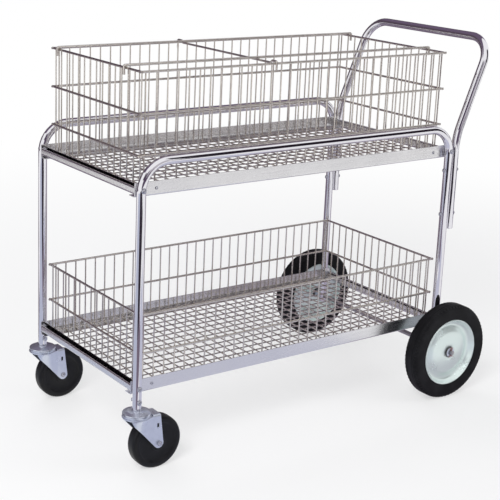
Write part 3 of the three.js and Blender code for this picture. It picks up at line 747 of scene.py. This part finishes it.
low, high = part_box("centre_cross_rod")
radius = (high.x - low.x) / 2
x = (low.x + high.x) / 2
over = high.z - radius
under = over - rod_step
outside = high.y - radius
inside = outside - step_place
mesh = bmesh.new()
path = [
    (x, -outside, low.z),
    (x, -outside, over),
    (x, -inside, over),
    (x, step_run - inside, under),
    (x, inside - step_run, under),
    (x, inside, over),
    (x, outside, over),
    (x, outside, low.z),
]
sweep(mesh, path, [cross_bend] * 6, radius, sides=14, steps=4, capped=True)
piece("cross_rod", mesh, wire, ["centre_cross_rod"])

# Rear axle: a bright drawn steel bar through both rear legs, chamfered at its ends, with turned spacers
# inside the wheels, thick washers outside them, and a cotter pin through each end.
axle_low, axle_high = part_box("rear_axle")
axle_radius = (axle_high.z - axle_low.z) / 2
axle_centre = Vector(((axle_low.x + axle_high.x) / 2, 0, (axle_low.z + axle_high.z) / 2))
chamfer = 0.0012
pin_radius = 0.0011
pin_leg_share = 0.8
pin_eye = 0.0034
pin_eye_shares = (2, 1.9, 0.7, 0.1)
pin_reach = 0.001
pin_tail = 0.006
pin_bends = (0.0012, 0.0010, 0.0010, 0.0014)

axle_steel = Finish("drawn_steel", Metallic=1.0)
axle_steel.mottle(0.01, (0.30, 0.29, 0.31), (0.46, 0.45, 0.47))
axle_steel.feed("Roughness", axle_steel.speckle(0.006, scale=(1, 0.1, 1)) * 0.2 + 0.25)
pin_steel = Finish("cotter_steel", Metallic=0.8)
pin_steel.mottle(0.004, (0.34, 0.17, 0.15), (0.55, 0.40, 0.38))
pin_steel.feed("Roughness", pin_steel.speckle(0.004) * 0.25 + 0.30)

reach = axle_high.y
mesh = bmesh.new()
profile = [
    (0, -reach),
    (axle_radius - chamfer, -reach),
    (axle_radius, chamfer - reach),
    (axle_radius, reach - chamfer),
    (axle_radius - chamfer, reach),
    (0, reach),
]
lathe(mesh, profile, axle_centre, (0, 1, 0), steps=32)
piece("axle_bar", mesh, axle_steel, ["rear_axle"])


def collar(name, node, steps, bevel):
    """A plain turned ring on the axle, in the place of a node."""
    low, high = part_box(node)
    half = (high.y - low.y) / 2
    ring = (high.z - low.z) / 2
    bore = axle_radius + seat_gap
    mesh = bmesh.new()
    profile = [(bore, -half), (ring, -half), (ring, half), (bore, half), (bore, -half)]
    lathe(mesh, profile, (axle_centre.x, low.y + half, axle_centre.z), (0, 1, 0), steps)
    piece(name, mesh, zinc, [node], bevel=bevel)


for side, out in (("left", -1), ("right", 1)):
    collar(f"{side}_spacer", f"{side}_wheel_spacer", steps=28, bevel=0.0006)
    collar(f"{side}_washer", f"{side}_axle_washer", steps=32, bevel=0.0004)
    washer_low, washer_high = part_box(f"{side}_axle_washer")
    outer_face = washer_low.y if out < 0 else washer_high.y
    pin_y = outer_face + out * (pin_radius + seat_gap)
    bottom = axle_centre.z - axle_radius
    crest, shoulder, waist, throat = (
        axle_centre.z + axle_radius + share * pin_eye for share in pin_eye_shares
    )
    mesh = bmesh.new()
    for lean in (-1, 1):
        x = axle_centre.x + lean * pin_radius * pin_leg_share
        wide = axle_centre.x + lean * pin_eye
        path = [
            (axle_centre.x, pin_y, crest),
            (wide, pin_y, shoulder),
            (wide, pin_y, waist),
            (x, pin_y, throat),
            (x, pin_y, bottom - pin_reach),
            (x + lean * pin_tail, pin_y, bottom - pin_tail),
        ]
        sweep(mesh, path, pin_bends, pin_radius, sides=10, steps=3, capped=True)
    piece(f"{side}_cotter_pin", mesh, pin_steel)

# Rear wheels: a black rubber tyre with fine notches round its shoulders, on a pressed steel hub in pale
# grey-green enamel, with a rolled lip, a groove and a domed middle. A flanged bush turns on the axle.
tread_notches = 72
notch_depth = 0.0035
tread_edge = 0.0095
groove_depth = 0.0012
groove_edges = (0.0120, 0.0130, 0.0145, 0.0155)
bush_gap = 0.00035
bush_barrel = 0.0096
bush_flange = 0.003
bush_chamfer = 0.001
# The tyre's points give a radius and a depth below its side, the hub's a radius and a place out from the
# wheel's middle.
tyre_side = ((0.0888, 0.0030), (0.0896, 0.0010), (0.0925, 0), (0.1150, 0), (0.1190, 0.0004), (0.1216, 0.0014))
tyre_shoulder = ((0.1238, 0.0028), (0.1255, 0.0052), (0.1266, 0.0075))
hub_face = [
    (0.0100, 0.0150), (0.0135, 0.0152), (0.0150, 0.0162), (0.0170, 0.0168), (0.0260, 0.0166),
    (0.0400, 0.0157), (0.0520, 0.0142), (0.0590, 0.0124), (0.0640, 0.0096), (0.0690, 0.0074),
    (0.0735, 0.0068), (0.0775, 0.0080), (0.0805, 0.0110), (0.0840, 0.0175),
]
hub_lip = [(0.0852, 0.0195), (0.0862, 0.0212), (0.0875, 0.0219), (0.0884, 0.0212), (0.0885, 0.0195)]
hub_back = [
    (0.0835, 0.0000), (0.0780, 0.0040), (0.0700, 0.0044), (0.0600, 0.0090), (0.0520, 0.0118),
    (0.0260, 0.0140), (0.0152, 0.0138), (0.0150, -0.0170), (0.0100, -0.0170),
]


def mirrored(outline):
    """An outline's other half, from its last point back to its first."""
    return [(radius, -place) for radius, place in outline[::-1]]


rubber = Finish("black_rubber", Specular_IOR_Level=0.16)
dust = rubber.ramp(rubber.speckle(0.03, detail=5.0), 0.35, 0.8)
rubber.feed("Base Color", rubber.blend(dust, (0.006, 0.006, 0.007), (0.014, 0.014, 0.016)))
rubber.feed("Roughness", rubber.speckle(0.015) * 0.18 + 0.48)
rubber.relief(rubber.speckle(0.0012, detail=5.0), 0.00008)

enamel = Finish("hub_enamel", Metallic=0.5, Coat_Weight=0.4, Coat_Roughness=0.2)
enamel.mottle(0.05, (0.70, 0.80, 0.78), (0.79, 0.88, 0.86), detail=5.0)
enamel.feed("Roughness", enamel.speckle(0.03) * 0.08 + 0.22)
enamel.relief(enamel.speckle(0.008), 0.00004)

# Painted shade: the bush is coloured near black so that the hub's middle, round the washer, reads as a dark
# recess.
bush_metal = Finish("painted_shade_bush", Metallic=0.7)
bush_metal.mottle(0.005, (0.07, 0.06, 0.06), (0.16, 0.15, 0.15))
bush_metal.feed("Roughness", bush_metal.speckle(0.004) * 0.2 + 0.3)

for side, out in (("left", -1), ("right", 1)):
    low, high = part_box(f"{side}_rear_tyre")
    middle = Vector((axle_centre.x, (low.y + high.y) / 2, axle_centre.z))
    half = (high.y - low.y) / 2
    tread = (high.z - low.z) / 2
    outline = [(radius, half - depth) for radius, depth in tyre_side + tyre_shoulder]
    outline.append((tread, half - tread_edge))
    for depth, drop in zip(groove_edges, (0, groove_depth, groove_depth, 0)):
        outline.append((tread - drop, half - depth))
    outline.append((tread, 0))
    profile = outline + mirrored(outline[:-1]) + outline[:1]
    mesh = bmesh.new()
    lathe(mesh, profile, middle, (0, out, 0), steps=2 * tread_notches)
    bmesh.ops.remove_doubles(mesh, verts=mesh.verts, dist=hair)
    for vert in mesh.verts:
        arm = Vector((vert.co.x - middle.x, 0, vert.co.z - middle.z))
        station = round(math.atan2(arm.z, arm.x) / (math.pi / tread_notches))
        if station % 2 and any(abs(arm.length - radius) < 10 * hair for radius, depth in tyre_shoulder):
            vert.co -= arm.normalized() * notch_depth
    piece(f"{side}_tyre", mesh, rubber, [f"{side}_rear_tyre"], f"{side}_rear_wheel")

    mesh = bmesh.new()
    profile = hub_face + hub_lip + mirrored(hub_lip) + hub_back + hub_face[:1]
    lathe(mesh, profile, middle, (0, out, 0), steps=96)
    piece(f"{side}_hub", mesh, enamel, [f"{side}_rear_hub"], f"{side}_rear_wheel")

    low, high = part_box(f"{side}_wheel_bush")
    reach = (high.y - low.y) / 2
    flange = (high.z - low.z) / 2
    bore = axle_radius + bush_gap
    outline = [
        (bore, reach), (flange - bush_chamfer, reach), (flange, reach - bush_chamfer),
        (flange, reach - bush_flange), (bush_barrel, reach - bush_flange),
    ]
    mesh = bmesh.new()
    lathe(mesh, outline + mirrored(outline) + outline[:1], middle, (0, out, 0), steps=36)
    piece(f"{side}_bush", mesh, bush_metal, [f"{side}_wheel_bush"], f"{side}_rear_wheel")

# Casters: zinc plated pressings. The stem and its conical cup are fixed in the leg, and below them the fork
# turns on a ball race. The fork's legs flare forward under the race and carry the wheel's bolt behind it.
trail = 0.048
hub_height = 0.0635
caster_bolt_radius = 0.004
crown_top = 0.1344
fork_plate = 0.003
leg_face = 0.0195
crown_bend = 0.004
leg_top = crown_top - fork_plate / 2 - crown_bend
leg_fold = 0.032
leg_lead = 0.004
leg_rear = trail + leg_lead
boss = 0.012
nose_reach = 0.0240
tip_reach = 0.0192
tip_drop = 0.015
flare_foot = 0.058
flare_heights = (0.070, 0.085)
flare_turn = 0.016
crease = 0.001
race_edge = 0.0325
slot_x = (0.0425, 0.0475)
slot_z = (0.1030, 0.1130)
# The outlines' points give a radius and a height above the floor, or for the wheel a place along its bolt.
stem_outline = [
    (0, 0.1281), (0.0100, 0.1281), (0.0100, 0.1311), (0.0060, 0.1311), (0.0060, 0.1400),
    (0.0300, 0.1400), (0.0322, 0.1405), (0.0330, 0.1418), (0.0322, 0.1431), (0.0300, 0.1437),
    (0.0285, 0.1441), (0.0255, 0.1462), (0.0200, 0.1475), (0.0140, 0.1482), (0.0104, 0.1487),
    (0.0086, 0.1487), (0.0086, 0.1940), (0.0076, 0.1950), (0, 0.1950),
]
race_outline = [
    (0.0064, 0.1314), (0.0330, 0.1314), (0.0338, 0.1320), (0.0340, 0.1330), (0.0336, 0.1342),
    (0.0325, 0.1348), (0.0312, 0.1352), (0.0308, 0.1366), (0.0312, 0.1380), (0.0306, 0.1390),
    (0.0292, 0.1394), (0.0064, 0.1394), (0.0064, 0.1314),
]
caster_outline = [
    (0.0065, 0.0177), (0.0165, 0.0177), (0.0180, 0.0170), (0.0190, 0.0145), (0.0215, 0.0128),
    (0.0300, 0.0124), (0.0450, 0.0128), (0.0475, 0.0144), (0.0490, 0.0156), (0.0510, 0.0160),
    (0.0560, 0.0160), (0.0595, 0.0150), (0.0620, 0.0128), (0.0632, 0.0100), (0.0635, 0.0060),
]

caster_rubber = Finish("caster_rubber", Specular_IOR_Level=0.2)
caster_rubber.mottle(0.02, (0.005, 0.005, 0.006), (0.012, 0.012, 0.014), detail=5.0)
caster_rubber.feed("Roughness", caster_rubber.speckle(0.01) * 0.15 + 0.32)
caster_rubber.relief(caster_rubber.speckle(0.0015, detail=4.0), 0.00005)


def flare(x):
    """How far the top of a fork leg stands out beyond its foot, at a place along the cart."""
    widest = math.sqrt(race_edge ** 2 - min(x, flare_turn) ** 2) - leg_face
    return widest * min(1, (leg_fold - x) / (leg_fold - flare_turn))


def fork_sheet(mesh):
    """One leg of the fork as a flat sheet in the plane Y = 0, about the swivel axis, with its slot."""
    hub = Vector((trail, 0, hub_height))
    top = Vector((-nose_reach, 0, leg_top))
    tip = Vector((-tip_reach, 0, crown_top - tip_drop))
    slope = hub - tip
    dip = math.atan2(-slope.z, slope.x) + math.asin(boss / slope.length)
    first = mesh.verts.new(hub + Vector((boss, 0, 0)))
    turn = {"cent": hub, "axis": (0, 1, 0), "angle": math.pi / 2 + dip, "steps": 12}
    arc = bmesh.ops.spin(mesh, geom=[first], **turn)["geom_last"]
    last = next(item for item in arc if isinstance(item, bmesh.types.BMVert))
    corners = [last] + [mesh.verts.new(place) for place in (tip, top, (leg_fold, 0, leg_top))]
    corners += [mesh.verts.new((leg_rear, 0, leg_top)), first]
    for ends in zip(corners, corners[1:]):
        mesh.edges.new(ends)
    bmesh.ops.edgeloop_fill(mesh, edges=list(mesh.edges))
    flares = (-flare_turn, -flare_turn / 2, 0, flare_turn / 2, flare_turn)
    folds = (leg_fold - crease, leg_fold, leg_fold + crease)
    cuts = [((x, 0, 0), (1, 0, 0)) for x in flares + folds + slot_x]
    cuts += [((0, 0, z), (0, 0, 1)) for z in (flare_foot, *flare_heights, *slot_z)]
    for place, normal in cuts:
        everything = list(mesh.verts) + list(mesh.edges) + list(mesh.faces)
        bmesh.ops.bisect_plane(mesh, geom=everything, plane_co=place, plane_no=normal)
    hole = []
    for face in mesh.faces:
        middle = face.calc_center_median()
        if slot_x[0] < middle.x < slot_x[1] and slot_z[0] < middle.z < slot_z[1]:
            hole.append(face)
    bmesh.ops.delete(mesh, geom=hole, context="FACES_ONLY")


for side, y, out in (("left", frame_y, -1), ("right", -frame_y, 1)):
    swivel = Vector((front_leg, y, 0))
    mesh = bmesh.new()
    lathe(mesh, stem_outline, swivel, (0, 0, 1), steps=48)
    piece(f"{side}_stem", mesh, zinc, [f"{side}_caster_stem"])

    mesh = bmesh.new()
    fork_sheet(mesh)
    for vert in mesh.verts:
        vert.co.y = leg_face
        if vert.co.x < leg_fold and vert.co.z > flare_foot:
            vert.co.y += flare(vert.co.x) * (vert.co.z - flare_foot) / (leg_top - flare_foot)
    top = [edge for edge in mesh.edges if all(vert.co.z > leg_top - hair for vert in edge.verts)]
    front = [edge for edge in top if any(vert.co.x < leg_fold - hair for vert in edge.verts)]
    pull(mesh, front, Vector((0, 0, crown_bend)))
    rear = [edge for edge in top if edge not in front]
    ring = list({vert for edge in rear for vert in edge.verts}) + rear
    turn = {"cent": (0, leg_face - crown_bend, leg_top), "axis": (1, 0, 0), "angle": math.pi / 2, "steps": 5}
    spun = bmesh.ops.spin(mesh, geom=ring, **turn)["geom_last"]
    edges = [item for item in spun if isinstance(item, bmesh.types.BMEdge)]
    pull(mesh, edges, Vector((0, crown_bend - leg_face, 0)))
    copied = bmesh.ops.duplicate(mesh, geom=list(mesh.verts) + list(mesh.edges) + list(mesh.faces))["geom"]
    other_leg = [item for item in copied if isinstance(item, bmesh.types.BMVert)]
    bmesh.ops.scale(mesh, vec=(1, -1, 1), verts=other_leg)
    bmesh.ops.translate(mesh, vec=swivel, verts=mesh.verts)
    fork = piece(f"{side}_fork", mesh, zinc, [f"{side}_caster_fork"], f"{side}_caster")
    thicken(fork, fork_plate, edge=0.0005)

    mesh = bmesh.new()
    lathe(mesh, race_outline, swivel, (0, 0, 1), steps=48)
    piece(f"{side}_race", mesh, zinc, body=f"{side}_caster")

    hub = swivel + Vector((trail, 0, hub_height))
    mesh = bmesh.new()
    lathe(mesh, caster_outline + mirrored(caster_outline) + caster_outline[:1], hub, (0, 1, 0), steps=72)
    nodes = [f"{side}_caster_wheel"]
    piece(f"{side}_caster_tyre", mesh, caster_rubber, nodes, f"{side}_caster_roller")

    grip = leg_face + fork_plate / 2 + seat_gap
    name = f"{side}_caster_screw"
    screw(name, hub, -out, grip, grip, caster_bolt_radius, f"{side}_caster_axle", f"{side}_caster")
